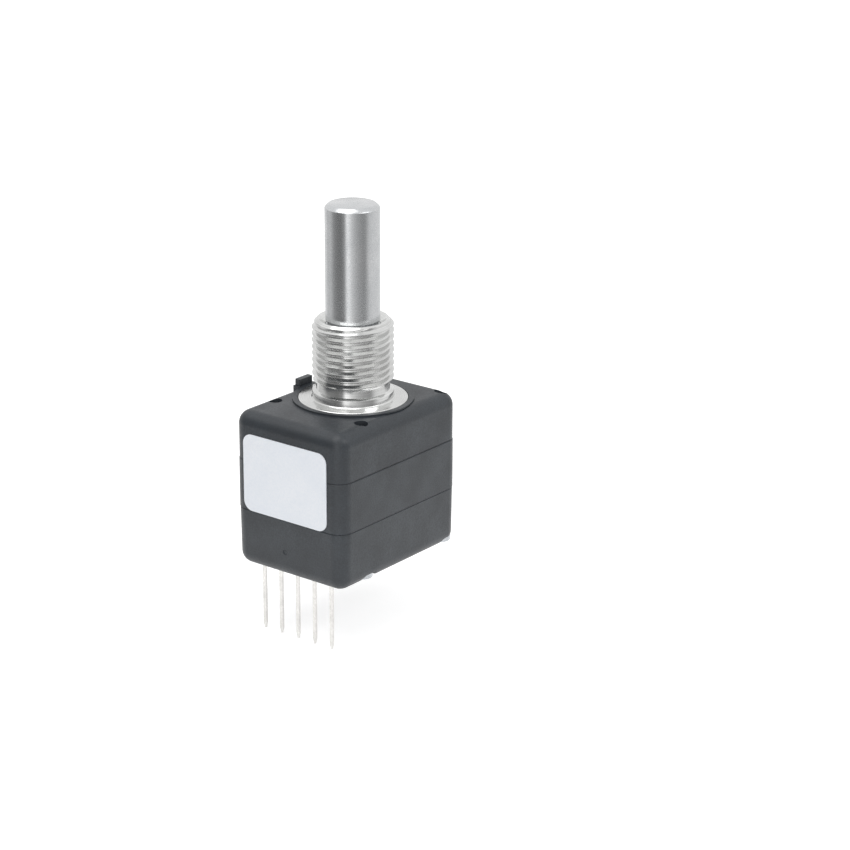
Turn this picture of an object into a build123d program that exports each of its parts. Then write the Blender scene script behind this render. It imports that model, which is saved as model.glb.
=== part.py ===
"""Panel-mount optical rotary encoder with a plain round shaft, built as its separate pieces.

Frame: millimetres. +Z runs along the shaft, away from the housing. The label face looks towards -Y.
The origin is on the shaft axis at the panel seat, which is the upper face of the bushing's flange.
"""

import os
from math import radians, tan

from build123d import *

# ---------------------------------------------------------------- housing: outside
housing_width = 16.3  # along X, centred on the shaft
housing_front = 12.0  # shaft axis to the label face, towards -Y
housing_back = 9.7  # shaft axis to the back face, towards +Y
flange_proud = 0.25  # flange face above the housing's top
upper_height = 5.75
middle_height = 6.05
lower_height = 7.1
wall = 1.3
corner_radius = 1.75  # upright corners
edge_radius = 1.6  # top and bottom edges
seam_chamfer = 0.08
upper_inset = 0.06  # the upper housing's side faces stand back from the middle housing's
lower_inset = 0.03  # the lower cover stands back from the middle housing by this much
lower_draft = 0.8  # degrees

# ---------------------------------------------------------------- housing: inside
roof = 2.0
floor = 1.6
boss_radius = 6.0  # carries the bushing inside the upper housing
boss_end = 4.4  # boss's lower end below the panel seat
rib_thickness = 0.6  # locating ribs between the layers
rib_height = 0.6
rib_length = 7.0
rib_clearance = 0.05

# ---------------------------------------------------------------- ring and lug on the top face
ring_width = 0.65
ring_height = 0.2
lug_width = 2.3  # along Y
lug_thickness = 0.75  # along X
lug_height = 1.0
lug_side_gap = 0.15  # from the housing's side face to the lug
lug_corner = 0.1
plinth_margin = 0.15
plinth_height = 0.2

# ---------------------------------------------------------------- bushing, 3/8-32 thread
thread_radius = 4.7625
thread_root_radius = 4.25
thread_start = 2.3  # above the panel seat
bushing_height = 9.53
bushing_chamfer = 0.62
flange_radius = 6.43
flange_thickness = 1.0
flange_edge = 0.1
shoulder_height = 0.9
relief_slope = 0.15
bushing_body_radius = 4.6
bushing_end = 4.6  # lower end below the panel seat
mouth_rim = 0.1875  # flat ring between the end chamfer and the mouth's countersink
press_gap = 0.01
flange_gap = 0.03

# ---------------------------------------------------------------- shaft, 1/4 inch
shaft_radius = 3.175
shaft_top = 23.05
shaft_chamfer = 0.42
running_gap = 0.03  # shaft to bushing bore, on the radius
neck_depth = 0.2  # relief neck that ends the bearing stretch, inside the mouth's countersink
neck_length = 0.65
neck_below_mouth = 0.13
journal_radius = 2.0
journal_nose = 0.5
end_play = 0.05
washer_thickness = 0.5
washer_radius = 4.5
retainer_thickness = 0.55
retainer_radius = 4.5
retainer_mouth = 2.6
groove_depth = 0.6
groove_gap = 0.02
shoulder_below_groove = 0.7  # full-size shaft left under the groove

# ---------------------------------------------------------------- rotor
hub_radius = 2.7
hub_flange_radius = 3.6
hub_flange_thickness = 0.7
hub_neck = 2.75  # shaft shoulder to the disc's upper face
disc_radius = 6.2
disc_thickness = 0.2
disc_slots = 64
slot_inner_radius = 4.95
slot_outer_radius = 5.75
slot_width = 0.26
clamp_thickness = 0.6
journal_below_hub = 2.2
pad_radius = 1.6
pad_thickness = 0.6
pad_gap = 0.08  # shaft end to thrust pad
post_wall = 0.8

# ---------------------------------------------------------------- screws
screw_from_side = 1.75  # screw axes in from the housing's side faces
screw_from_front = 5.6
screw_from_back = 1.3
screw_radius = 0.78
screw_bite = 0.02  # screw to its hole in the upper housing
screw_clearance = 0.12  # screw to its hole in the other two layers
screw_tip_depth = 0.5  # tip below the top face
screw_post_radius = 1.85
head_radius = 1.3
head_height = 0.75
head_clearance = 0.45
recess_depth = 0.9
drive_width = 0.32
drive_share = 1.2  # drive's length against the head's radius
drive_depth = 0.35

# ---------------------------------------------------------------- board, terminals and parts on it
board_face = 10.1  # shaft axis to the board's front face
board_thickness = 1.6
board_width = 12.6
board_gap = 0.15  # board to the lower cover's floor
board_height = 14.0
pitch = 2.54
terminal_count = 5
terminal_width = 0.5
terminal_thickness = 0.3
terminal_foot = 3.0  # length soldered to the board, above its lower edge
terminal_tip = 27.25  # below the panel seat
terminal_point = 0.7
terminal_point_share = 0.25  # width left at the tip, against the pin's width
terminal_clearance = 0.15
lead_hole_radius = 0.3
lead_width = 0.34
lead_end = 0.3  # lead past the board's front face
emitter_leads = [-0.8, 0.8]  # along X
detector_leads = [-1.2, -0.4, 0.4, 1.2]
ic_body = (4.9, 1.45, 2.6)  # X, Y, Z
ic_stand_off = 0.12
ic_above_board_end = 0.9
ic_lead = (0.4, 0.2, 0.6)
ic_lead_count = 4  # a side
ic_lead_pitch = 1.27
ic_lead_level = 0.5  # lead's middle above the body's underside
ic_lead_bury = 0.1
ic_foot_length = 0.6
chip_pitch = 2.4
chip_drop = 0.8  # chips' middle below the middle of the bushing's boss
chip_edge = 0.05
resistor_size = (1.6, 0.45, 0.8)
capacitor_size = (1.6, 0.8, 0.8)

# ---------------------------------------------------------------- slotted opto module
module_width = 6.0
module_reach = 4.3  # shaft axis to the module's nose
throat = 6.95  # shaft axis to the bottom of the module's slot
gap_above_disc = 0.7
gap_below_disc = 0.7
upper_arm = 1.95
lower_arm = 2.4
module_chamfer = 0.25
pocket_half = 1.6
pocket_nose = 4.9
device_half = 1.5
device_nose = 5.0
device_back = 7.6
emitter_height = 1.2
detector_height = 1.15
device_gap = 0.1
lens_radius = 0.45
mask_thickness = 0.15
mask_slits = 4
mask_slit_pitch = 0.5
mask_slit_width = 0.2
mask_slit_inset = 0.1  # slit's ends inside the disc slots' ends

# ---------------------------------------------------------------- label and gate mark
label_width = 12.4
label_height = 9.35
label_offset = -0.25  # centre from the shaft axis, along X
label_top = 2.65  # below the panel seat
label_radius = 1.2
label_thickness = 0.1
gate_radius = 0.35
gate_depth = 0.08
gate_x = -0.4
gate_z = -16.0

overcut = 1.0  # cuts run past the faces they open by this much

# ---------------------------------------------------------------- heights worked out from these
top_z = -flange_proud
upper_seam = top_z - upper_height
lower_seam = upper_seam - middle_height
bottom_z = lower_seam - lower_height
roof_z = top_z - roof
floor_z = bottom_z + floor
recess_z = bottom_z + recess_depth

washer_top = -bushing_end - end_play
washer_bottom = washer_top - washer_thickness
retainer_top = washer_bottom - end_play
retainer_bottom = retainer_top - retainer_thickness
shaft_shoulder = retainer_bottom - groove_gap - shoulder_below_groove
disc_top = shaft_shoulder - hub_neck
disc_bottom = disc_top - disc_thickness
hub_bottom = disc_bottom - hub_flange_thickness
journal_end = hub_bottom - journal_below_hub
pad_top = journal_end - pad_gap
pad_bottom = pad_top - pad_thickness

board_back = -board_face + board_thickness
board_bottom = floor_z + board_gap
terminal_y = -board_face - terminal_thickness / 2

slot_top = disc_top + gap_above_disc
slot_bottom = disc_bottom - gap_below_disc
module_top = slot_top + upper_arm
module_bottom = slot_bottom - lower_arm

housing_length = housing_front + housing_back
housing_centre = (0, (housing_back - housing_front) / 2)
bore_radius = shaft_radius + running_gap
mouth_radius = thread_radius - bushing_chamfer - mouth_rim
neck_top = bushing_height - neck_below_mouth
screw_spots = [
    (x, y)
    for x in (screw_from_side - housing_width / 2, housing_width / 2 - screw_from_side)
    for y in (screw_from_front - housing_front, housing_back - screw_from_back)
]
# Locating ribs stand on the middle of each wall: (centre x, centre y, size x, size y).
rib_offset_x = housing_width / 2 - wall + rib_thickness / 2
rib_front_y = -housing_front + wall - rib_thickness / 2
rib_back_y = housing_back - wall + rib_thickness / 2
rib_spots = [
    (-rib_offset_x, 0, rib_thickness, rib_length),
    (rib_offset_x, 0, rib_thickness, rib_length),
    (0, rib_front_y, rib_length, rib_thickness),
    (0, rib_back_y, rib_length, rib_thickness),
]


def save(part, node):
    """Label a finished piece and write its STEP file."""
    part.label = node
    export_step(part, f"parts/{node}.step")


os.makedirs("parts", exist_ok=True)

# ---------------------------------------------------------------- upper housing
with BuildPart() as upper_housing:
    with BuildSketch(Plane.XY.offset(upper_seam)):
        with Locations(housing_centre):
            RectangleRounded(
                housing_width - 2 * upper_inset, housing_length, corner_radius
            )
    extrude(amount=upper_height)
    fillet(upper_housing.faces().sort_by(Axis.Z)[-1].edges(), edge_radius)
    chamfer(upper_housing.faces().sort_by(Axis.Z)[0].edges(), seam_chamfer)
    # the cavity, open downwards
    with BuildSketch(Plane.XY.offset(upper_seam)):
        with Locations(housing_centre):
            Rectangle(housing_width - 2 * wall, housing_length - 2 * wall)
    extrude(amount=roof_z - upper_seam, mode=Mode.SUBTRACT)
    # the boss that carries the bushing, and the screw posts
    with BuildSketch(Plane.XY.offset(-boss_end)):
        Circle(boss_radius)
    extrude(amount=boss_end + roof_z)
    with BuildSketch(Plane.XY.offset(upper_seam)):
        with Locations(*screw_spots):
            Circle(screw_post_radius)
        with Locations(housing_centre):
            Rectangle(
                housing_width - wall, housing_length - wall, mode=Mode.INTERSECT
            )
    extrude(amount=roof_z - upper_seam)
    # the raised ring round the flange
    with BuildSketch(Plane.XY.offset(top_z)):
        Circle(flange_radius + flange_gap + ring_width)
    extrude(amount=ring_height)
    # the anti-rotation lug on its plinth
    lug_x = -housing_width / 2 + upper_inset + lug_side_gap + lug_thickness / 2
    with BuildSketch(Plane.XY.offset(top_z - edge_radius)):
        with Locations((lug_x, 0)):
            Rectangle(
                lug_thickness + 2 * plinth_margin, lug_width + 2 * plinth_margin
            )
    extrude(amount=edge_radius + plinth_height)
    with BuildSketch(Plane.XY.offset(top_z)):
        with Locations((lug_x, 0)):
            RectangleRounded(lug_thickness, lug_width, lug_corner)
    extrude(amount=lug_height)
    # the flange's seat and the bushing's hole
    with BuildSketch(Plane.XY.offset(-flange_thickness)):
        Circle(flange_radius + flange_gap)
    extrude(amount=flange_thickness + overcut, mode=Mode.SUBTRACT)
    with BuildSketch(Plane.XY.offset(-boss_end - overcut)):
        Circle(bushing_body_radius + press_gap)
    extrude(amount=boss_end + 2 * overcut, mode=Mode.SUBTRACT)
    # screw holes, right through the top face
    with BuildSketch(Plane.XY.offset(upper_seam)):
        with Locations(*screw_spots):
            Circle(screw_radius + screw_bite)
    extrude(amount=upper_height + overcut, mode=Mode.SUBTRACT)
    # pockets for the middle housing's ribs
    with BuildSketch(Plane.XY.offset(upper_seam)):
        for x, y, size_x, size_y in rib_spots:
            with Locations((x, y)):
                Rectangle(size_x + 2 * rib_clearance, size_y + 2 * rib_clearance)
    extrude(amount=rib_height + rib_clearance, mode=Mode.SUBTRACT)
save(upper_housing.part, "upper_housing")

# ---------------------------------------------------------------- middle housing
with BuildPart() as middle_housing:
    with BuildSketch(Plane.XY.offset(lower_seam)):
        with Locations(housing_centre):
            RectangleRounded(housing_width, housing_length, corner_radius)
    extrude(amount=middle_height)
    chamfer(middle_housing.faces().sort_by(Axis.Z)[-1].edges(), seam_chamfer)
    chamfer(middle_housing.faces().sort_by(Axis.Z)[0].edges(), seam_chamfer)
    with BuildSketch(Plane.XY.offset(lower_seam)):
        with Locations(housing_centre):
            Rectangle(housing_width - 2 * wall, housing_length - 2 * wall)
    extrude(amount=middle_height, mode=Mode.SUBTRACT)
    with BuildSketch(Plane.XY.offset(lower_seam)):
        with Locations(*screw_spots):
            Circle(screw_post_radius)
        with Locations(housing_centre):
            Rectangle(
                housing_width - wall, housing_length - wall, mode=Mode.INTERSECT
            )
    extrude(amount=middle_height)
    # locating ribs, above and below
    with BuildSketch(Plane.XY.offset(lower_seam - rib_height)):
        for x, y, size_x, size_y in rib_spots:
            with Locations((x, y)):
                Rectangle(size_x, size_y)
    extrude(amount=middle_height + 2 * rib_height)
    with BuildSketch(Plane.XY.offset(lower_seam - overcut)):
        with Locations(*screw_spots):
            Circle(screw_radius + screw_clearance)
    extrude(amount=middle_height + 2 * overcut, mode=Mode.SUBTRACT)
save(middle_housing.part, "middle_housing")

# ---------------------------------------------------------------- lower cover
with BuildPart() as lower_cover:
    with BuildSketch(Plane.XY.offset(lower_seam)):
        with Locations(housing_centre):
            RectangleRounded(
                housing_width - 2 * lower_inset,
                housing_length - 2 * lower_inset,
                corner_radius,
            )
    extrude(amount=-lower_height, taper=lower_draft)
    fillet(lower_cover.faces().sort_by(Axis.Z)[0].edges(), edge_radius)
    chamfer(lower_cover.faces().sort_by(Axis.Z)[-1].edges(), seam_chamfer)
    with BuildSketch(Plane.XY.offset(floor_z)):
        with Locations(housing_centre):
            Rectangle(housing_width - 2 * wall, housing_length - 2 * wall)
    extrude(amount=lower_seam - floor_z, mode=Mode.SUBTRACT)
    with BuildSketch(Plane.XY.offset(floor_z)):
        with Locations(*screw_spots):
            Circle(screw_post_radius)
        with Locations(housing_centre):
            Rectangle(
                housing_width - wall, housing_length - wall, mode=Mode.INTERSECT
            )
    extrude(amount=lower_seam - floor_z)
    # the post that holds the thrust pad under the shaft's end
    with BuildSketch(Plane.XY.offset(floor_z)):
        Circle(pad_radius + press_gap + post_wall)
    extrude(amount=pad_top - floor_z)
    with BuildSketch(Plane.XY.offset(pad_bottom)):
        Circle(pad_radius + press_gap)
    extrude(amount=pad_thickness, mode=Mode.SUBTRACT)
    # screw holes, and head recesses that break out of the side faces
    with BuildSketch(Plane.XY.offset(bottom_z)):
        with Locations(*screw_spots):
            Circle(screw_radius + screw_clearance)
    extrude(amount=lower_height, mode=Mode.SUBTRACT)
    with BuildSketch(Plane.XY.offset(bottom_z)):
        with Locations(*screw_spots):
            Circle(head_radius + head_clearance)
    extrude(amount=recess_depth, mode=Mode.SUBTRACT)
    # terminal slots
    with BuildSketch(Plane.XY.offset(bottom_z)):
        with Locations((0, terminal_y)):
            with GridLocations(pitch, 1, terminal_count, 1):
                Rectangle(
                    terminal_width + 2 * terminal_clearance,
                    terminal_thickness + 2 * terminal_clearance,
                )
    extrude(amount=floor, mode=Mode.SUBTRACT)
    # pockets for the middle housing's ribs
    with BuildSketch(Plane.XY.offset(lower_seam)):
        for x, y, size_x, size_y in rib_spots:
            with Locations((x, y)):
                Rectangle(size_x + 2 * rib_clearance, size_y + 2 * rib_clearance)
    extrude(amount=-rib_height - rib_clearance, mode=Mode.SUBTRACT)
    # the moulding gate's mark on the front face
    with BuildSketch(Plane.XZ.offset(housing_front)):
        with Locations((gate_x, gate_z)):
            Circle(gate_radius)
    draft_at_gate = (lower_seam - gate_z) * tan(radians(lower_draft))
    gate_cut = lower_inset + draft_at_gate + gate_depth
    extrude(amount=-gate_cut, mode=Mode.SUBTRACT)
save(lower_cover.part, "lower_cover")

# ---------------------------------------------------------------- bushing
with BuildPart() as bushing:
    with BuildSketch(Plane.XZ):
        with BuildLine():
            Polyline(
                (bore_radius, -bushing_end),
                (bushing_body_radius, -bushing_end),
                (bushing_body_radius, -flange_thickness),
                (flange_radius, -flange_thickness),
                (flange_radius, -flange_edge),
                (flange_radius - flange_edge, 0),
                (thread_radius, 0),
                (thread_radius, shoulder_height - relief_slope),
                (thread_root_radius, shoulder_height + relief_slope),
                (thread_root_radius, thread_start - 2 * relief_slope),
                (thread_radius, thread_start),
                (thread_radius, bushing_height - bushing_chamfer),
                (thread_radius - bushing_chamfer, bushing_height),
                (mouth_radius, bushing_height),
                (bore_radius, bushing_height - mouth_radius + bore_radius),
                close=True,
            )
        make_face()
    revolve(axis=Axis.Z)
save(bushing.part, "bushing")

# ---------------------------------------------------------------- shaft
with BuildPart() as shaft:
    groove_radius = shaft_radius - groove_depth
    with BuildSketch(Plane.XZ):
        with BuildLine():
            Polyline(
                (0, journal_end),
                (journal_radius - journal_nose, journal_end),
                (journal_radius, journal_end + journal_nose),
                (journal_radius, shaft_shoulder),
                (shaft_radius, shaft_shoulder),
                (shaft_radius, retainer_bottom - groove_gap),
                (groove_radius, retainer_bottom - groove_gap),
                (groove_radius, retainer_top + groove_gap),
                (shaft_radius, retainer_top + groove_gap),
                (shaft_radius, neck_top - neck_length),
                (shaft_radius - neck_depth, neck_top - neck_length),
                (shaft_radius - neck_depth, neck_top),
                (shaft_radius, neck_top),
                (shaft_radius, shaft_top - shaft_chamfer),
                (shaft_radius - shaft_chamfer, shaft_top),
                (0, shaft_top),
                close=True,
            )
        make_face()
    revolve(axis=Axis.Z)
save(shaft.part, "shaft")

# ---------------------------------------------------------------- thrust washer and retaining ring
with BuildPart() as thrust_washer:
    with BuildSketch(Plane.XY.offset(washer_bottom)):
        Circle(washer_radius)
        Circle(shaft_radius + running_gap, mode=Mode.SUBTRACT)
    extrude(amount=washer_thickness)
save(thrust_washer.part, "thrust_washer")

with BuildPart() as retaining_ring:
    with BuildSketch(Plane.XY.offset(retainer_bottom)):
        Circle(retainer_radius)
        Circle(groove_radius + groove_gap, mode=Mode.SUBTRACT)
        with Locations((retainer_radius, 0)):
            Rectangle(2 * retainer_radius, retainer_mouth, mode=Mode.SUBTRACT)
    extrude(amount=retainer_thickness)
save(retaining_ring.part, "retaining_ring")

# ---------------------------------------------------------------- hub, code disc and its clamp
with BuildPart() as disc_hub:
    with BuildSketch(Plane.XY.offset(hub_bottom)):
        Circle(hub_flange_radius)
    extrude(amount=hub_flange_thickness)
    with BuildSketch(Plane.XY.offset(disc_bottom)):
        Circle(hub_radius)
    extrude(amount=shaft_shoulder - disc_bottom)
    with BuildSketch(Plane.XY.offset(hub_bottom)):
        Circle(journal_radius + press_gap)
    extrude(amount=shaft_shoulder - hub_bottom, mode=Mode.SUBTRACT)
save(disc_hub.part, "disc_hub")

with BuildPart() as code_disc:
    with BuildSketch(Plane.XY.offset(disc_bottom)):
        Circle(disc_radius)
        Circle(hub_radius + press_gap, mode=Mode.SUBTRACT)
        with PolarLocations(
            (slot_inner_radius + slot_outer_radius) / 2, disc_slots
        ):
            Rectangle(
                slot_outer_radius - slot_inner_radius, slot_width, mode=Mode.SUBTRACT
            )
    extrude(amount=disc_thickness)
save(code_disc.part, "code_disc")

with BuildPart() as disc_clamp:
    with BuildSketch(Plane.XY.offset(disc_top)):
        Circle(hub_flange_radius)
        Circle(hub_radius + press_gap, mode=Mode.SUBTRACT)
    extrude(amount=clamp_thickness)
save(disc_clamp.part, "disc_clamp")

# ---------------------------------------------------------------- thrust pad
with BuildPart() as thrust_pad:
    with BuildSketch(Plane.XY.offset(pad_bottom)):
        Circle(pad_radius)
    extrude(amount=pad_thickness)
save(thrust_pad.part, "thrust_pad")

# ---------------------------------------------------------------- opto holder: slot open to the shaft
emitter_top = slot_top + device_gap + emitter_height
emitter_bottom = emitter_top - emitter_height
mask_top = slot_bottom - device_gap / 2
mask_bottom = mask_top - mask_thickness
detector_top = mask_bottom - device_gap / 2
detector_bottom = detector_top - detector_height
module_depth = -module_reach - board_back
module_mid_y = (board_back - module_reach) / 2
pocket_depth = -pocket_nose - board_back
pocket_mid_y = (board_back - pocket_nose) / 2
with BuildPart() as opto_holder:
    with BuildSketch(Plane.XY.offset(module_bottom)):
        with Locations((0, module_mid_y)):
            Rectangle(module_width, module_depth)
    extrude(amount=module_top - module_bottom)
    chamfer(opto_holder.faces().sort_by(Axis.Y)[-1].edges(), module_chamfer)
    with BuildSketch(Plane.XY.offset(slot_bottom)):
        with Locations((0, -throat / 2)):
            Rectangle(module_width, throat)
    extrude(amount=slot_top - slot_bottom, mode=Mode.SUBTRACT)
    # pockets for the emitter above the slot and the detector below it
    with BuildSketch(Plane.XY.offset(slot_top)):
        with Locations((0, pocket_mid_y)):
            Rectangle(2 * pocket_half, pocket_depth)
    extrude(amount=emitter_top + device_gap - slot_top, mode=Mode.SUBTRACT)
    with BuildSketch(Plane.XY.offset(slot_bottom)):
        with Locations((0, pocket_mid_y)):
            Rectangle(2 * pocket_half, pocket_depth)
    extrude(
        amount=detector_bottom - device_gap - slot_bottom, mode=Mode.SUBTRACT
    )
save(opto_holder.part, "opto_holder")

# ---------------------------------------------------------------- emitter, detector and mask
device_mid_y = -(device_nose + device_back) / 2
device_depth = device_back - device_nose
lead_length = board_face + lead_end - device_back
lead_mid_y = -device_back - lead_length / 2
emitter_lead_z = emitter_bottom + emitter_height / 2
detector_lead_z = detector_bottom + detector_height / 2
with BuildPart() as emitter:
    with BuildSketch(Plane.XY.offset(emitter_bottom)):
        with Locations((0, device_mid_y)):
            Rectangle(2 * device_half, device_depth)
    extrude(amount=emitter_height)
    with Locations((0, -(slot_inner_radius + slot_outer_radius) / 2, emitter_bottom)):
        Sphere(lens_radius)
    for lead_x in emitter_leads:
        with Locations((lead_x, lead_mid_y, emitter_lead_z)):
            Box(lead_width, lead_length, lead_width)
save(emitter.part, "emitter")

with BuildPart() as detector:
    with BuildSketch(Plane.XY.offset(detector_bottom)):
        with Locations((0, device_mid_y)):
            Rectangle(2 * device_half, device_depth)
    extrude(amount=detector_height)
    for lead_x in detector_leads:
        with Locations((lead_x, lead_mid_y, detector_lead_z)):
            Box(lead_width, lead_length, lead_width)
save(detector.part, "detector")

with BuildPart() as aperture_mask:
    with BuildSketch(Plane.XY.offset(mask_bottom)):
        with Locations((0, device_mid_y)):
            Rectangle(2 * device_half, device_depth)
        with Locations((0, -(slot_inner_radius + slot_outer_radius) / 2)):
            with GridLocations(mask_slit_pitch, 1, mask_slits, 1):
                Rectangle(
                    mask_slit_width,
                    slot_outer_radius - slot_inner_radius - 2 * mask_slit_inset,
                    mode=Mode.SUBTRACT,
                )
    extrude(amount=mask_thickness)
save(aperture_mask.part, "aperture_mask")

# ---------------------------------------------------------------- circuit board
board_mid_y = -board_face + board_thickness / 2
with BuildPart() as circuit_board:
    with BuildSketch(Plane.XY.offset(board_bottom)):
        with Locations((0, board_mid_y)):
            Rectangle(board_width, board_thickness)
    extrude(amount=board_height)
    with BuildSketch(Plane.XZ.offset(board_face)):
        for lead_x in emitter_leads:
            with Locations((lead_x, emitter_lead_z)):
                Circle(lead_hole_radius)
        for lead_x in detector_leads:
            with Locations((lead_x, detector_lead_z)):
                Circle(lead_hole_radius)
    extrude(amount=-board_thickness, mode=Mode.SUBTRACT)
save(circuit_board.part, "circuit_board")

# ---------------------------------------------------------------- parts on the board's back
ic_z = board_bottom + ic_above_board_end + ic_body[2] / 2
ic_foot_depth = ic_stand_off + ic_foot_length
with BuildPart() as comparator_ic:
    with Locations((0, board_back + ic_stand_off + ic_body[1] / 2, ic_z)):
        Box(*ic_body)
    for side in (-1, 1):
        lead_z = ic_z + side * (ic_body[2] / 2 + ic_lead[2] / 2 - ic_lead_bury)
        foot_z = lead_z + side * ic_lead[2] / 2
        for index in range(ic_lead_count):
            lead_x = (index - (ic_lead_count - 1) / 2) * ic_lead_pitch
            with Locations((lead_x, board_back + ic_stand_off + ic_lead_level, lead_z)):
                Box(*ic_lead)
            with Locations((lead_x, board_back + ic_foot_depth / 2, foot_z)):
                Box(ic_lead[0], ic_foot_depth, ic_lead[1])
save(comparator_ic.part, "comparator_ic")

chip_z = (roof_z - boss_end) / 2 - chip_drop
chips = {
    "emitter_resistor": (-1.5 * chip_pitch, resistor_size),
    "pullup_resistor_a": (-0.5 * chip_pitch, resistor_size),
    "pullup_resistor_b": (0.5 * chip_pitch, resistor_size),
    "bypass_capacitor": (1.5 * chip_pitch, capacitor_size),
}
for chip_name, (chip_x, chip_size) in chips.items():
    with BuildPart() as chip:
        with Locations((chip_x, board_back + chip_size[1] / 2, chip_z)):
            Box(*chip_size)
        chamfer(chip.edges().filter_by(Axis.Z), chip_edge)
    save(chip.part, chip_name)

# ---------------------------------------------------------------- terminals
terminal_top = board_bottom + terminal_foot
tip_half = terminal_point_share * terminal_width / 2
for index in range(terminal_count):
    terminal_x = (index - (terminal_count - 1) / 2) * pitch
    left = terminal_x - terminal_width / 2
    right = terminal_x + terminal_width / 2
    with BuildPart() as terminal:
        with BuildSketch(Plane.XZ.offset(board_face)):
            with BuildLine():
                Polyline(
                    (left, terminal_top),
                    (right, terminal_top),
                    (right, -terminal_tip + terminal_point),
                    (terminal_x + tip_half, -terminal_tip),
                    (terminal_x - tip_half, -terminal_tip),
                    (left, -terminal_tip + terminal_point),
                    close=True,
                )
            make_face()
        extrude(amount=terminal_thickness)
    save(terminal.part, f"terminal_{index + 1}")

# ---------------------------------------------------------------- screws
with BuildPart() as housing_screws:
    with BuildSketch(Plane.XY.offset(recess_z)):
        with Locations(*screw_spots):
            Circle(screw_radius)
    extrude(amount=top_z - screw_tip_depth - recess_z)
    with BuildSketch(Plane.XY.offset(recess_z)):
        with Locations(*screw_spots):
            Circle(head_radius)
    extrude(amount=-head_height)
    with BuildSketch(Plane.XY.offset(recess_z - head_height)):
        with Locations(*screw_spots):
            Rectangle(drive_share * head_radius, drive_width)
            Rectangle(drive_width, drive_share * head_radius)
    extrude(amount=drive_depth, mode=Mode.SUBTRACT)
save(housing_screws.part, "housing_screws")

# ---------------------------------------------------------------- label
with BuildPart() as label:
    with BuildSketch(Plane.XZ.offset(housing_front)):
        with Locations((label_offset, -label_top - label_height / 2)):
            RectangleRounded(label_width, label_height, label_radius)
    extrude(amount=label_thickness)
save(label.part, "label")
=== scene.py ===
# %% [markdown]
# # A panel-mount optical encoder
# The real object is a small black box that stands on five pins. A threaded, nickel-plated bushing
# holds it in a panel, and a plain steel shaft turns in the bushing. This lesson loads the solid model
# as a fixed frame, puts better-looking pieces over the ones that show, and gives every piece the
# finish that its real material has. All positions are in metres and come from the frame.

# %% Load the frame
from math import cos, hypot, pi, radians, sin, tan

import bmesh
import bpy
from mathutils import Matrix, Quaternion, Vector


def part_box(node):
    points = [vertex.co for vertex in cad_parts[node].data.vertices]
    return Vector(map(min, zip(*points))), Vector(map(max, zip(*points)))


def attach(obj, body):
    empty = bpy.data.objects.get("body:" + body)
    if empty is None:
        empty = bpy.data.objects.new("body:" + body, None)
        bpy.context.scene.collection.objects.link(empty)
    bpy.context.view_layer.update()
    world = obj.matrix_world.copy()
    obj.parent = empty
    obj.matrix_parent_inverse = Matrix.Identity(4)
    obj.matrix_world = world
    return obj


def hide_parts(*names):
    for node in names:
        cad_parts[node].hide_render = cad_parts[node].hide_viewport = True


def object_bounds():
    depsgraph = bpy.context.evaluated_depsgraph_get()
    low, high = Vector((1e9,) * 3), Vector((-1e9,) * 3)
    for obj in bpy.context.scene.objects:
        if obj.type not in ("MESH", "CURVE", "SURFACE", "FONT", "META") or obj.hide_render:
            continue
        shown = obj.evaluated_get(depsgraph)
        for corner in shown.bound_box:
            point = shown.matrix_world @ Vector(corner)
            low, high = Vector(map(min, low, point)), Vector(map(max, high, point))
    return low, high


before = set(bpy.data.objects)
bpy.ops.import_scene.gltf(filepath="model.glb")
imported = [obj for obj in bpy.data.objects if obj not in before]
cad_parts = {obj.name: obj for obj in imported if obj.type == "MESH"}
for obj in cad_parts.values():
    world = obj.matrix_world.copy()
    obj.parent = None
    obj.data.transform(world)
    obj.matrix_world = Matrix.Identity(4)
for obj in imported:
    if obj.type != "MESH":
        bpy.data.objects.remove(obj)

cad_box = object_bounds()
MM = 0.001
print("nodes", len(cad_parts), "box mm", [round(v / MM, 2) for v in (*cad_box[0], *cad_box[1])])

# %% [markdown]
# ## Sizes read from the frame
# A new piece must sit exactly where the solid model says, so its main sizes are read from the boxes
# of the nodes. Only the small details that a box can't show are written as numbers, in millimetres.

# %% Read the sizes
bushing_low, bushing_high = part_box("bushing")
shaft_low, shaft_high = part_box("shaft")
screws_low, screws_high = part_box("housing_screws")
floor_level = cad_box[0].z
flange_radius = bushing_high.x / MM
shaft_radius = shaft_high.x / MM
print("flange radius", round(flange_radius, 3), "shaft radius", round(shaft_radius, 3), "mm")

# %% [markdown]
# ## Camera
# A product picture of this kind is taken with a long lens from a little above, so that upright edges
# stay nearly parallel. The camera is placed by its angle round the object, its height above the
# horizon and its distance, and then leans by a fraction of a degree.

# %% Place the camera
azimuth, elevation, lean = radians(37.81), radians(19.28), radians(0.28)
distance = 294.9
aim_right, aim_down = 8.378, 3.578
aim = Vector((aim_right * cos(azimuth), aim_right * sin(azimuth), -aim_down)) * MM
towards_camera = Vector((sin(azimuth) * cos(elevation), -cos(azimuth) * cos(elevation), sin(elevation)))
camera = bpy.data.objects.new("camera", bpy.data.cameras.new("camera"))
bpy.context.scene.collection.objects.link(camera)
camera.data.lens = 106.8
camera.data.sensor_width = 36
camera.data.clip_start = 0.01
camera.data.clip_end = 20
camera.rotation_mode = "QUATERNION"
camera.location = aim + towards_camera * distance * MM
camera.rotation_quaternion = (-towards_camera).to_track_quat("-Z", "Y") @ Quaternion((0, 0, 1), lean)
bpy.context.scene.camera = camera
print("camera at mm", [round(v / MM, 1) for v in camera.location])

# %% [markdown]
# ## Small tools for materials
# Colours are written as the hex values that a colour picker shows, and one function turns them into
# the linear values that a renderer works in. A second one adds a shader node with its settings and
# links, so that each material below reads as a short list. A third starts an empty material.

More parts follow.
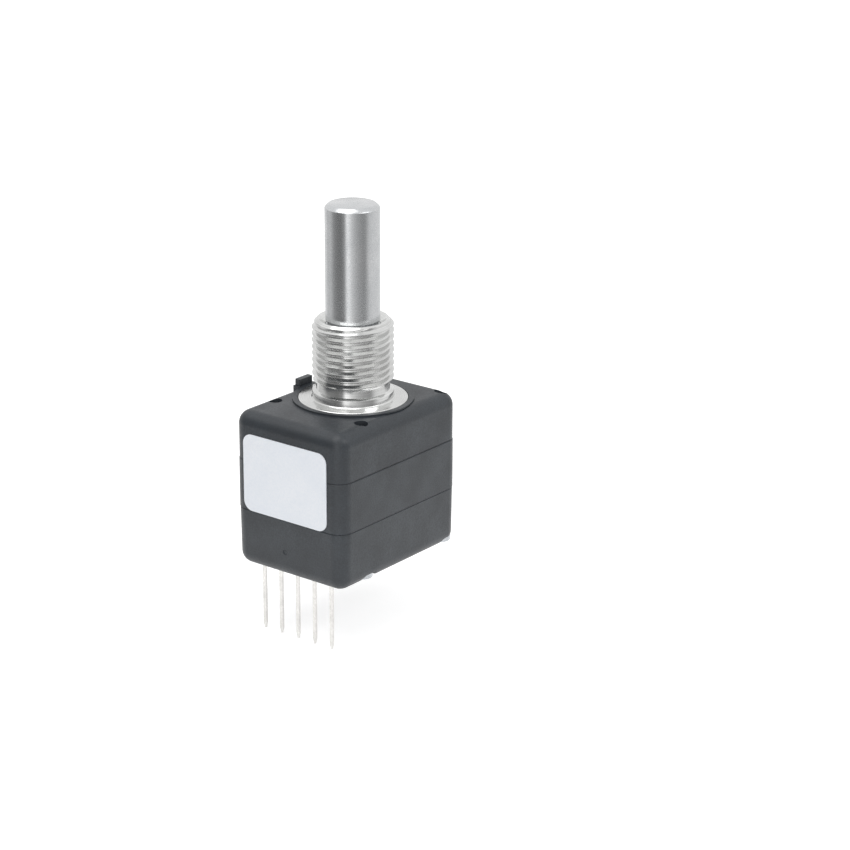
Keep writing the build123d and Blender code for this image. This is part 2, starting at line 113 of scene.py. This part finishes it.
# %% Colour and node tools
def linear(hex_colour):
    """Turn an sRGB hex colour into linear RGBA."""
    channels = [int(hex_colour[i : i + 2], 16) / 255 for i in (1, 3, 5)]
    return (*(c / 12.92 if c <= 0.04045 else ((c + 0.055) / 1.055) ** 2.4 for c in channels), 1)


def add_node(tree, kind, inputs=None, **settings):
    """Add a shader node, set its properties, and set or link its inputs."""
    node = tree.nodes.new("ShaderNode" + kind)
    for name, value in settings.items():
        setattr(node, name, value)
    for name, value in (inputs or {}).items():
        if isinstance(value, bpy.types.NodeSocket):
            tree.links.new(value, node.inputs[name])
        else:
            node.inputs[name].default_value = value
    return node


def new_material(name):
    """Make an empty material, and return it with its node tree."""
    material = bpy.data.materials.new(name)
    material.use_nodes = True
    material.node_tree.nodes.clear()
    return material, material.node_tree


print("mid grey", [round(c, 4) for c in linear("#808080")])

# %% [markdown]
# ## One way to build a finish
# Real surfaces vary at two scales. A broad mottle of a few millimetres comes from how the part was
# moulded, plated or handled. A fine grain comes from the mould's texture or the cutting tool. Each
# finish below uses a broad noise for colour and gloss and a fine one for the bump. A turned or ground
# part has lines that run round its axis, so its grain reads only the radius and the height, which
# makes the same noise into rings.

# %% Build a finish
def make_finish(
    name, dark, light, roughness, grain, bump, mottle=3.0, metallic=0.0, ior=1.5, turned=False
):
    """Make a procedural material.

    Grain and mottle are sizes in millimetres, and bump is a height in micrometres.
    """
    material, tree = new_material(name)
    place = add_node(tree, "TexCoord").outputs["Object"]
    grain_place = place
    if turned:
        split = add_node(tree, "SeparateXYZ", {"Vector": place})
        flat = add_node(tree, "CombineXYZ", {"X": split.outputs["X"], "Y": split.outputs["Y"]})
        radius = add_node(tree, "VectorMath", {0: flat.outputs[0]}, operation="LENGTH")
        grain_place = add_node(
            tree, "CombineXYZ", {"X": radius.outputs["Value"], "Z": split.outputs["Z"]}
        ).outputs[0]
    broad = add_node(tree, "TexNoise", {"Vector": place, "Scale": 1 / (mottle * MM), "Detail": 3.0})
    fine = add_node(tree, "TexNoise", {"Vector": grain_place, "Scale": 1 / (grain * MM), "Detail": 2.0})
    blend = add_node(
        tree, "Math", {0: broad.outputs["Fac"], 1: fine.outputs["Fac"]}, operation="MULTIPLY", use_clamp=True
    )
    spread = add_node(
        tree, "MapRange", {"Value": blend.outputs[0], "From Min": 0.12, "From Max": 0.42}
    ).outputs[0]
    colour = add_node(tree, "Mix", {0: spread, 6: linear(dark), 7: linear(light)}, data_type="RGBA")
    gloss = add_node(
        tree, "MapRange", {"Value": spread, "To Min": roughness[1], "To Max": roughness[0]}
    ).outputs[0]
    height = add_node(
        tree, "Bump", {"Height": fine.outputs["Fac"], "Distance": bump * MM * MM, "Strength": 1.0}
    )
    shader = add_node(
        tree,
        "BsdfPrincipled",
        {
            "Base Color": colour.outputs[2],
            "Roughness": gloss,
            "Metallic": metallic,
            "Normal": height.outputs[0],
        },
    )
    if not metallic:
        shader.inputs["IOR"].default_value = ior
    add_node(tree, "OutputMaterial", {"Surface": shader.outputs[0]})
    return material


# %% [markdown]
# ## Finishes that show
# - The case is a glass-filled thermoplastic from a spark-eroded mould: black, matt, with a fine
#   sandy grain that scatters the light from above into a grey sheen.
# - The bushing is brass, turned, then plated with bright nickel, which is a little warmer than steel.
# - The shaft is stainless steel, centreless ground and then tumbled to an even satin.
# - The label is a pale polyester film, left bare.
# - The pins are tin-plated copper alloy, soft and pale. The screws are zinc-plated steel.
# Grain finer than about 0.1 mm wouldn't show in a picture of this size, so it is drawn that coarse.

# %% Make the finishes that show
case_plastic = make_finish(
    "moulded_black_thermoplastic", "#24282D", "#31373D", (0.34, 0.48), 0.17, 18, mottle=4.0, ior=1.52
)
bright_nickel = make_finish(
    "bright_nickel_on_turned_brass", "#CACAC9", "#E4E5E4", (0.12, 0.22), 0.11, 2, metallic=1.0, turned=True
)
ground_steel = make_finish(
    "ground_stainless_steel", "#BEC0C2", "#D6D7D8", (0.19, 0.29), 0.16, 2.0, metallic=1.0
)
label_film = make_finish(
    "polyester_label_film", "#EDF2F9", "#F5F8FD", (0.32, 0.44), 0.2, 1.5, mottle=5.0, ior=1.57
)
tin_plate = make_finish(
    "tin_plated_copper_alloy", "#CFCECB", "#E4E3E0", (0.28, 0.4), 0.25, 2, mottle=2.5, metallic=1.0
)
zinc_plate = make_finish(
    "zinc_plated_steel", "#A5A8AC", "#D2D5D8", (0.2, 0.38), 0.15, 4, mottle=1.0, metallic=1.0
)
print("materials", len(bpy.data.materials))

# %% [markdown]
# ## Finishes inside the case
# Nothing of these shows while the case is closed, but each piece is still given what it is made of:
# acetal washers, a brass hub, an etched code disc, tinted epoxy on the light source and a dark one on
# the detector, and the small parts of the circuit board.

# %% Make the finishes inside
acetal = make_finish("natural_acetal", "#D9D6CC", "#E8E6DE", (0.3, 0.42), 0.2, 3, ior=1.48, turned=True)
spring_steel = make_finish("hardened_spring_steel", "#54565B", "#7A7D82", (0.25, 0.4), 0.15, 3, metallic=1.0)
turned_brass = make_finish(
    "turned_brass", "#B08D4A", "#D2AE66", (0.2, 0.34), 0.12, 3, metallic=1.0, turned=True
)
etched_steel = make_finish("etched_stainless_sheet", "#8D9095", "#B0B3B8", (0.3, 0.45), 0.1, 3, metallic=1.0)
holder_plastic = make_finish("moulded_black_nylon", "#17181A", "#222326", (0.4, 0.55), 0.15, 6, ior=1.53)
emitter_epoxy = make_finish("tinted_clear_epoxy", "#5A3C5E", "#73507A", (0.08, 0.16), 0.5, 1, ior=1.55)
detector_epoxy = make_finish("infra_red_pass_epoxy", "#121216", "#1D1D24", (0.1, 0.2), 0.5, 1, ior=1.55)
package_epoxy = make_finish("moulded_epoxy_package", "#1B1B1C", "#29292B", (0.5, 0.65), 0.12, 6, ior=1.55)
resistor_glaze = make_finish("glazed_chip_ceramic", "#1C1D20", "#2C2E33", (0.15, 0.3), 0.3, 2, ior=1.6)
capacitor_ceramic = make_finish("barium_titanate_ceramic", "#8F6F4A", "#B08F66", (0.35, 0.5), 0.1, 4, ior=1.8)
print("materials", len(bpy.data.materials))

# %% [markdown]
# ## Circuit board laminate
# The board is woven glass in epoxy under a green solder mask. The weave shows faintly through the
# mask as a grid of yarns about half a millimetre apart, so two sets of bands are crossed for the bump
# and for a slight change of green.

# %% Make the laminate
yarn_pitch = 0.5
laminate, tree = new_material("glass_epoxy_laminate")
place = add_node(tree, "TexCoord").outputs["Object"]
band_scale = 2 * pi / (20 * yarn_pitch * MM)
warp = add_node(tree, "TexWave", {"Vector": place, "Scale": band_scale}, bands_direction="X")
weft = add_node(tree, "TexWave", {"Vector": place, "Scale": band_scale}, bands_direction="Z")
weave = add_node(tree, "Math", {0: warp.outputs["Fac"], 1: weft.outputs["Fac"]}, operation="MAXIMUM")
greens = {0: weave.outputs[0], 6: linear("#17492B"), 7: linear("#205C38")}
green = add_node(tree, "Mix", greens, data_type="RGBA")
weave_height = 4 * MM * MM
relief = add_node(
    tree, "Bump", {"Height": weave.outputs[0], "Distance": weave_height, "Strength": 1.0}
)
mask = add_node(
    tree,
    "BsdfPrincipled",
    {"Base Color": green.outputs[2], "Roughness": 0.28, "IOR": 1.55, "Normal": relief.outputs[0]},
)
add_node(tree, "OutputMaterial", {"Surface": mask.outputs[0]})

# %% [markdown]
# ## Give the carried-over nodes their finishes
# The solid model's hidden pieces are right as they are, so they only get better materials. Assigning
# to the object's material slots leaves the mesh alone.

# %% Dress the carried-over nodes
dressed = {
    "thrust_washer": acetal,
    "thrust_pad": acetal,
    "retaining_ring": spring_steel,
    "disc_hub": turned_brass,
    "disc_clamp": turned_brass,
    "code_disc": etched_steel,
    "aperture_mask": etched_steel,
    "opto_holder": holder_plastic,
    "emitter": emitter_epoxy,
    "detector": detector_epoxy,
    "circuit_board": laminate,
    "comparator_ic": package_epoxy,
    "emitter_resistor": resistor_glaze,
    "pullup_resistor_a": resistor_glaze,
    "pullup_resistor_b": resistor_glaze,
    "bypass_capacitor": capacitor_ceramic,
    "label": label_film,
}
for node_name, material in dressed.items():
    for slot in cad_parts[node_name].material_slots:
        slot.material = material
print("dressed", len(dressed), "nodes")

# %% [markdown]
# ## Tools for new pieces
# A turned part starts as its half outline, which is spun round the axis. The outline's corners are
# bevelled a few hundredths of a millimetre first, because no real edge is perfectly sharp and the
# thin highlight along it is what makes the metal look solid. A Weighted Normal modifier lets the
# large faces decide the shading, so a long wall stays straight in its reflections right up to the
# broken edge.

# %% Piece tools
sharp_angle = radians(32)
weld_distance = 0.001


def spin_outline(bm, outline, steps):
    """Spin a chain of (radius, height) points in millimetres once round the Z axis."""
    verts = [bm.verts.new((radius * MM, 0, height * MM)) for radius, height in outline]
    edges = [bm.edges.new(pair) for pair in zip(verts, verts[1:])]
    bmesh.ops.spin(
        bm, geom=verts + edges, cent=(0, 0, 0), axis=(0, 0, 1), angle=2 * pi, steps=steps, use_merge=True
    )


def break_edges(bm, width, angle=25, keep=None):
    """Bevel each edge that turns by more than an angle in degrees. Width is in millimetres."""
    sharp = [e for e in bm.edges if len(e.link_faces) == 2 and e.calc_face_angle() > radians(angle)]
    if keep:
        sharp = [e for e in sharp if keep(e)]
    bmesh.ops.bevel(
        bm,
        geom=sharp,
        offset=width * MM,
        offset_type="OFFSET",
        segments=2,
        profile=0.5,
        affect="EDGES",
        material=-1,
        clamp_overlap=True,
    )
    return len(sharp)


def make_piece(bm, name, material, body, nodes, worn_edge=0):
    """Turn a bmesh into an object with clean shading, in place of the nodes that it stands for.

    A worn edge is the width in millimetres of a Bevel modifier on every sharp edge.
    """
    bmesh.ops.remove_doubles(bm, verts=bm.verts, dist=weld_distance * MM / 2)
    bmesh.ops.dissolve_degenerate(bm, edges=bm.edges, dist=weld_distance * MM / 2)
    bmesh.ops.recalc_face_normals(bm, faces=bm.faces)
    mesh = bpy.data.meshes.new(name)
    bm.to_mesh(mesh)
    bm.free()
    mesh.shade_smooth()
    mesh.set_sharp_from_angle(angle=sharp_angle)
    mesh.materials.append(material)
    piece = bpy.data.objects.new(name, mesh)
    bpy.context.scene.collection.objects.link(piece)
    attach(piece, body)
    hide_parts(*nodes)
    if worn_edge:
        rounding = piece.modifiers.new("worn_edges", "BEVEL")
        rounding.width = worn_edge * MM
        rounding.segments = 2
        rounding.limit_method = "ANGLE"
        rounding.angle_limit = sharp_angle
    piece.modifiers.new("flat_walls", "WEIGHTED_NORMAL").keep_sharp = True
    print(name, "faces", len(mesh.polygons), "size mm", [round(v / MM, 2) for v in piece.dimensions])


# %% [markdown]
# ## Case mouldings
# The case is three mouldings: a cap, a frame and a cover. The solid model has their true shape, but
# its edges are mathematically sharp, and a moulding's never are, because the mould's own corners
# are worn and polished. So each is copied, its loose triangles are merged, the flat ones are joined
# into whole faces, and a Bevel modifier rounds what is left sharp.

# %% Soften the three mouldings
mould_edge = 0.07
for node_name in ("upper_housing", "middle_housing", "lower_cover"):
    bm = bmesh.new()
    bm.from_mesh(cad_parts[node_name].data)
    bmesh.ops.remove_doubles(bm, verts=bm.verts, dist=weld_distance * MM)
    bmesh.ops.dissolve_limit(
        bm,
        angle_limit=radians(0.5),
        use_dissolve_boundaries=False,
        verts=bm.verts,
        edges=bm.edges,
    )
    make_piece(bm, node_name + "_moulding", case_plastic, "housing", [node_name], mould_edge)

# %% [markdown]
# ## Bushing thread
# The thread is 3/8-32: 9.525 mm across the crests and 32 turns to the inch, so one turn rises
# 0.794 mm. The flanks stand at 60 degrees to each other, the crests are a flat an eighth of the pitch
# wide, and the roots are a little wider. A chain of such teeth is spun once round the axis while it
# rises by one pitch: its end then meets its start one tooth higher, and the merged skin is one true
# helix. The lathe chamfers the bushing's end after the thread is cut, so every point that stands
# outside the chamfer's cone is moved in to it, and the same is done at the relief near the shoulder.

# %% Cut the thread
pitch = 25.4 / 32
crest_radius = 4.7625
root_radius = 4.31
thread_steps = 144
relief_radius, relief_top = 4.3, 2.0
relief_slope = 1.6
end_height = bushing_high.z / MM
end_chamfer = 0.62
depth = crest_radius - root_radius
flank = depth * tan(radians(30))
crest_flat = pitch / 8
root_flat = pitch - 2 * flank - crest_flat
tooth = [
    (root_radius, 0),
    (root_radius, root_flat),
    (root_radius + depth * 0.35, root_flat + flank * 0.35),
    (root_radius + depth * 0.7, root_flat + flank * 0.7),
    (crest_radius, root_flat + flank),
    (crest_radius, root_flat + flank + crest_flat),
    (root_radius + depth * 0.5, root_flat + crest_flat + flank * 1.5),
]
first_height = relief_top - 2 * pitch
turns = int((end_height - first_height) / pitch) + 2
bm = bmesh.new()
chain = [
    bm.verts.new((radius * MM, 0, (first_height + turn * pitch + height) * MM))
    for turn in range(turns)
    for radius, height in tooth
]
edges = [bm.edges.new(pair) for pair in zip(chain, chain[1:])]
bmesh.ops.spin(
    bm,
    geom=chain + edges,
    cent=(0, 0, 0),
    axis=(0, 0, 1),
    dvec=(0, 0, pitch * MM / thread_steps),
    angle=2 * pi,
    steps=thread_steps,
)
bmesh.ops.remove_doubles(bm, verts=bm.verts, dist=2 * weld_distance * MM)
for v in bm.verts:
    height, radius = v.co.z / MM, hypot(v.co.x, v.co.y) / MM
    limit = min(crest_radius, crest_radius - (height - (end_height - end_chamfer)))
    limit = min(limit, relief_radius + max(0, height - relief_top) * relief_slope)
    if radius > limit:
        v.co.x *= limit / radius
        v.co.y *= limit / radius
for height, side in ((end_height, 1), (relief_top, -1)):
    bmesh.ops.bisect_plane(
        bm,
        geom=list(bm.verts) + list(bm.edges) + list(bm.faces),
        dist=0.0001 * MM,
        plane_co=(0, 0, height * MM),
        plane_no=(0, 0, side),
        clear_outer=True,
    )
print("thread turns", turns, "faces", len(bm.faces))

# %% [markdown]
# ## Rest of the bushing
# Everything else on the bushing is plain turning: a flat ring and a countersink at the mouth, the
# bore, the body that is pressed into the cap, the flange that the panel seats on, a shoulder and the
# relief. Its outline is spun with the same number of steps, and bridges close it to the thread's two
# ends. The relief's wall has one extra ring near the thread, which keeps the shading of the long wall
# even.

# %% Turn the rest and close the bushing
bore_radius = 3.205
mouth_radius = 3.955
body_radius = 4.6
body_end = bushing_low.z / MM
flange_thickness, flange_edge = 1.0, 0.1
foot_fillet, shoulder_top, shoulder_slope = 0.12, 0.9, 0.15
join_gap, wall_band = 0.01, 0.08
outline = [
    (crest_radius - end_chamfer - join_gap, end_height),
    (mouth_radius, end_height),
    (bore_radius, end_height - mouth_radius + bore_radius),
    (bore_radius, body_end),
    (body_radius, body_end),
    (body_radius, -flange_thickness),
    (flange_radius, -flange_thickness),
    (flange_radius, -flange_edge),
    (flange_radius - flange_edge, 0),
    (crest_radius + foot_fillet, 0),
    (crest_radius, foot_fillet),
    (crest_radius, shoulder_top),
    (relief_radius, shoulder_top + shoulder_slope),
    (relief_radius, relief_top - wall_band),
    (relief_radius, relief_top - join_gap),
]
thread_faces = set(bm.faces)
spin_outline(bm, outline, thread_steps)
turned_edges = {e for f in bm.faces if f not in thread_faces for e in f.edges}
broken_edge = 0.04
bevelled = break_edges(bm, broken_edge, keep=lambda e: e in turned_edges)
rim_reach = 0.05
for level in (end_height, relief_top):
    rims = [
        e
        for e in bm.edges
        if e.is_boundary and all(abs(v.co.z / MM - level) < rim_reach for v in e.verts)
    ]
    bmesh.ops.bridge_loops(bm, edges=rims)
print("bevelled", bevelled, "open edges", sum(e.is_boundary for e in bm.edges))
make_piece(bm, "turned_bushing", bright_nickel, "housing", ["bushing"])

# %% [markdown]
# ## Shaft
# The shaft is a ground rod with a chamfered end. Inside the case it has a groove for the retaining
# ring and a thinner journal for the disc's hub. It is spun from its outline, and its corners are
# broken by a few hundredths of a millimetre.

# %% Turn the shaft
shaft_top = shaft_high.z / MM
journal_end = shaft_low.z / MM
ring_low, ring_high = (corner.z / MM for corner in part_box("retaining_ring"))
hub_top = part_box("disc_hub")[1].z / MM
journal_radius, journal_nose = 2.0, 0.5
groove_depth, groove_play = 0.6, 0.02
neck_depth, neck_length = 0.2, 0.65
neck_top = end_height - 0.13
shaft_chamfer, broken_edge = 0.42, 0.05
bm = bmesh.new()
spin_outline(
    bm,
    [
        (0, journal_end),
        (journal_radius - journal_nose, journal_end),
        (journal_radius, journal_end + journal_nose),
        (journal_radius, hub_top),
        (shaft_radius, hub_top),
        (shaft_radius, ring_low - groove_play),
        (shaft_radius - groove_depth, ring_low - groove_play),
        (shaft_radius - groove_depth, ring_high + groove_play),
        (shaft_radius, ring_high + groove_play),
        (shaft_radius, neck_top - neck_length),
        (shaft_radius - neck_depth, neck_top - neck_length),
        (shaft_radius - neck_depth, neck_top),
        (shaft_radius, neck_top),
        (shaft_radius, shaft_top - shaft_chamfer),
        (shaft_radius - shaft_chamfer, shaft_top),
        (0, shaft_top),
    ],
    128,
)
bmesh.ops.remove_doubles(bm, verts=bm.verts, dist=weld_distance * MM)
break_edges(bm, broken_edge)
make_piece(bm, "ground_shaft", ground_steel, "rotor", ["shaft"])

# %% [markdown]
# ## Pins
# Each pin is stamped from tin-plated strip and coined to a blunt point. A cube is stretched to the
# strip, its lower end is extruded and narrowed to the point, and the stamped edges are rounded.

# %% Stamp the pins
point_length, point_scale = 0.7, (0.3, 0.8, 1)
for number in range(1, 6):
    low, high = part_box(f"terminal_{number}")
    size, middle = high - low, (high + low) / 2
    bm = bmesh.new()
    shank = size.z - point_length * MM
    bmesh.ops.create_cube(
        bm,
        size=1,
        matrix=Matrix.Translation((middle.x, middle.y, high.z - shank / 2))
        @ Matrix.Diagonal((size.x, size.y, shank, 1)),
    )
    end = min(bm.faces, key=lambda f: f.calc_center_median().z)
    tip = bmesh.ops.extrude_face_region(bm, geom=[end])["geom"]
    bmesh.ops.delete(bm, geom=[end], context="FACES_ONLY")
    tip_verts = [g for g in tip if isinstance(g, bmesh.types.BMVert)]
    bmesh.ops.translate(bm, verts=tip_verts, vec=(0, 0, -point_length * MM))
    bmesh.ops.scale(bm, verts=tip_verts, vec=point_scale, space=Matrix.Translation(-middle))
    break_edges(bm, broken_edge, angle=40)
    make_piece(bm, f"pin_{number}", tin_plate, "housing", [f"terminal_{number}"])

# %% [markdown]
# ## Case screws
# Four long pan-head screws hold the three mouldings together from below. Each head has a cross
# recess: a three-by-three grid gives the cross as its middle row and column, which are pushed in and
# drawn together. The space between the grid and a ring round it is filled, and the ring is then
# extruded up the screw, one step of the outline at a time.

# %% Make one screw and place four
head_radius, shank_radius, head_height = 1.3, 0.78, 0.75
cross_arm, cross_width, cross_depth, cross_taper = 0.62, 0.26, 0.35, 0.7
flat_margin, head_edge, tip_chamfer = 0.3, 0.05, 0.25
screw_length = (screws_high.z - screws_low.z) / MM
rim_chain = [
    (head_radius - head_edge, 0.08),
    (head_radius, 0.2),
    (head_radius, head_height - head_edge),
    (head_radius - head_edge, head_height),
    (shank_radius, head_height),
    (shank_radius, screw_length - 0.3),
    (shank_radius - tip_chamfer, screw_length),
]
screw_x = screws_high.x - head_radius * MM
screw_front = screws_low.y + head_radius * MM
screw_back = screws_high.y - head_radius * MM
bm = bmesh.new()
for x, y, turn in (
    (-screw_x, screw_front, 20),
    (screw_x, screw_front, 65),
    (-screw_x, screw_back, 40),
    (screw_x, screw_back, 5),
):
    before = set(bm.verts)
    grid = bmesh.ops.create_grid(bm, x_segments=3, y_segments=3, size=cross_arm * MM)["verts"]
    for v in grid:
        for axis in (0, 1):
            if abs(v.co[axis]) < 0.5 * cross_arm * MM:
                v.co[axis] = (cross_width / 2 * MM) * (1 if v.co[axis] > 0 else -1)
    cells = {f for v in grid for f in v.link_faces}
    half = cross_width / 2 * MM
    cross = [
        f
        for f in cells
        if abs(f.calc_center_median().x) < half or abs(f.calc_center_median().y) < half
    ]
    outer = [e for f in cells for e in f.edges if e.is_boundary]
    rim_radius = (head_radius - flat_margin) * MM
    rim = bmesh.ops.create_circle(bm, segments=36, radius=rim_radius)["verts"]
    rim_edges = [e for e in bm.edges if e.verts[0] in rim and e.verts[1] in rim]
    bmesh.ops.triangle_fill(
        bm, edges=list(set(outer)) + rim_edges, use_beauty=True, normal=(0, 0, 1)
    )
    pushed = bmesh.ops.extrude_face_region(bm, geom=cross)["geom"]
    bmesh.ops.delete(bm, geom=cross, context="FACES")
    floor_verts = [g for g in pushed if isinstance(g, bmesh.types.BMVert)]
    bmesh.ops.translate(bm, verts=floor_verts, vec=(0, 0, cross_depth * MM))
    bmesh.ops.scale(bm, verts=floor_verts, vec=(cross_taper, cross_taper, 1))
    for radius, height in rim_chain:
        grown = bmesh.ops.extrude_edge_only(bm, edges=rim_edges)["geom"]
        ring = [g for g in grown if isinstance(g, bmesh.types.BMVert)]
        rim_edges = [g for g in grown if isinstance(g, bmesh.types.BMEdge)]
        for v in ring:
            v.co = Vector((v.co.x, v.co.y, 0)).normalized() * radius * MM + Vector((0, 0, height * MM))
    bmesh.ops.contextual_create(bm, geom=rim_edges)
    new = [v for v in bm.verts if v not in before]
    bmesh.ops.rotate(bm, verts=new, cent=(0, 0, 0), matrix=Matrix.Rotation(radians(turn), 3, "Z"))
    bmesh.ops.translate(bm, verts=new, vec=(x, y, screws_low.z))
print("open edges", sum(e.is_boundary for e in bm.edges))
make_piece(bm, "case_screws", zinc_plate, "housing", ["housing_screws"])

# %% [markdown]
# ## Floor and background
# The object stands on a plain white sweep. For the camera and for mirror-like rays the floor and the
# sky have a strength near one, which is white, so the background reads as paper white and the metal
# mirrors it. For the light that falls on the object they stay at a plain level. The floor keeps its
# ordinary white surface under that, so it still takes the object's shadow.

# %% Make the floor and the sky
def stage_piece(bm, name, material):
    """Turn a bmesh into an object of the studio, which isn't part of the encoder."""
    mesh = bpy.data.meshes.new(name)
    bm.to_mesh(mesh)
    bm.free()
    mesh.materials.append(material)
    piece = bpy.data.objects.new(name, mesh)
    bpy.context.scene.collection.objects.link(piece)
    return piece


def seen_clearly(tree):
    """One for camera, mirror-like and transmission rays, and zero for the rays that only light."""
    ray = add_node(tree, "LightPath")
    either = {0: ray.outputs["Is Camera Ray"], 1: ray.outputs["Is Glossy Ray"]}
    seen = add_node(tree, "Math", either, operation="MAXIMUM")
    third = {0: seen.outputs[0], 1: ray.outputs["Is Transmission Ray"]}
    return add_node(tree, "Math", third, operation="MAXIMUM").outputs[0]


paper, tree = new_material("white_paper_sweep")
lift = add_node(tree, "Math", {0: seen_clearly(tree), 1: 0.62}, operation="MULTIPLY")
surface = add_node(tree, "BsdfDiffuse", {"Color": linear("#E4E4E4")})
glow = add_node(tree, "Emission", {"Color": (1, 1, 1, 1), "Strength": lift.outputs[0]})
both = add_node(tree, "AddShader", {0: surface.outputs[0], 1: glow.outputs[0]})
add_node(tree, "OutputMaterial", {"Surface": both.outputs[0]})

floor_radius = 4.0
bm = bmesh.new()
bmesh.ops.create_circle(bm, cap_ends=True, segments=64, radius=floor_radius)
bmesh.ops.translate(bm, verts=bm.verts, vec=(0, 0, floor_level))
stage_piece(bm, "studio_floor", paper)

world = bpy.data.worlds.new("studio")
world.use_nodes = True
tree = world.node_tree
tree.nodes.clear()
level = add_node(tree, "MapRange", {"Value": seen_clearly(tree), "To Min": 0.5, "To Max": 1.0})
sky = add_node(tree, "Background", {"Color": (1, 1, 1, 1), "Strength": level.outputs[0]})
add_node(tree, "OutputWorld", {"Surface": sky.outputs[0]})
bpy.context.scene.world = world
bpy.context.scene.view_settings.view_transform = "Standard"

# %% [markdown]
# ## Lights
# Three soft boxes light the object: a large one above, and weaker ones at the side and in front.

# %% Hang the soft boxes
def hang_light(name, angle, height, reach, size, power):
    """Hang an area light at an angle in degrees round the object, aimed at the middle of it."""
    lamp = bpy.data.objects.new(name, bpy.data.lights.new(name, "AREA"))
    lamp.data.shape = "SQUARE"
    lamp.data.size = size
    lamp.data.energy = power
    a = radians(angle)
    lamp.location = Vector((sin(a) * reach, -cos(a) * reach, height))
    lamp.rotation_mode = "QUATERNION"
    lamp.rotation_quaternion = (-lamp.location).to_track_quat("-Z", "Y")
    bpy.context.scene.collection.objects.link(lamp)


hang_light("overhead_box", -20, 0.55, 0.18, 0.45, 1.25)
hang_light("side_box", 100, 0.3, 0.5, 0.35, 0.9)
hang_light("front_box", 25, 0.2, 0.6, 0.3, 0.65)


# %% [markdown]
# ## Reflection tent
# Metal shows only what surrounds it, so a tent of paper is wrapped round it in a studio, with dark
# felt hung on the paper: the felt draws the soft dark bands on the shaft, and the gap in it the bright
# line between them. The tent is a band round the object that mirror-like rays alone see, so it casts
# no shadow. Its tone is given by the angle round the object, in degrees to the right of the camera.

# %% Stand the tent
tent_radius, tent_low, tent_high = 60, -21, 32
tones = [
    (-127, 0.68),
    (-104, 0.74),
    (-94, 0.66),
    (-82, 0.38),
    (-66, 0.26),
    (-46, 0.2),
    (-29, 0.3),
    (-21, 1.35),
    (-12, 1.2),
    (-3, 0.82),
    (15, 0.56),
    (30, 0.42),
    (54, 0.32),
    (72, 0.8),
    (90, 0.88),
    (140, 0.93),
]
felt, tree = new_material("paper_and_felt")
place = add_node(tree, "TexCoord").outputs["Object"]
around = add_node(tree, "TexGradient", {"Vector": place}, gradient_type="RADIAL")
ramp = add_node(tree, "ValToRGB", {"Fac": around.outputs["Fac"]})
camera_side = azimuth / (2 * pi) + 0.25
stops = ramp.color_ramp.elements
for number, (angle, tone) in enumerate(tones):
    position = camera_side + angle / 360
    stop = stops[number] if number < 2 else stops.new(position)
    stop.position = position
    stop.color = (tone, tone, tone, 1)
paper_glow = add_node(tree, "Emission", {"Color": ramp.outputs["Color"], "Strength": 1.0})
add_node(tree, "OutputMaterial", {"Surface": paper_glow.outputs[0]})

bm = bmesh.new()
spin_outline(bm, [(tent_radius, tent_low), (tent_radius, tent_high)], 72)
tent = stage_piece(bm, "reflection_tent", felt)
for ray_kind in ("camera", "diffuse", "transmission", "shadow"):
    setattr(tent, "visible_" + ray_kind, False)
print("tent tones", len(stops))
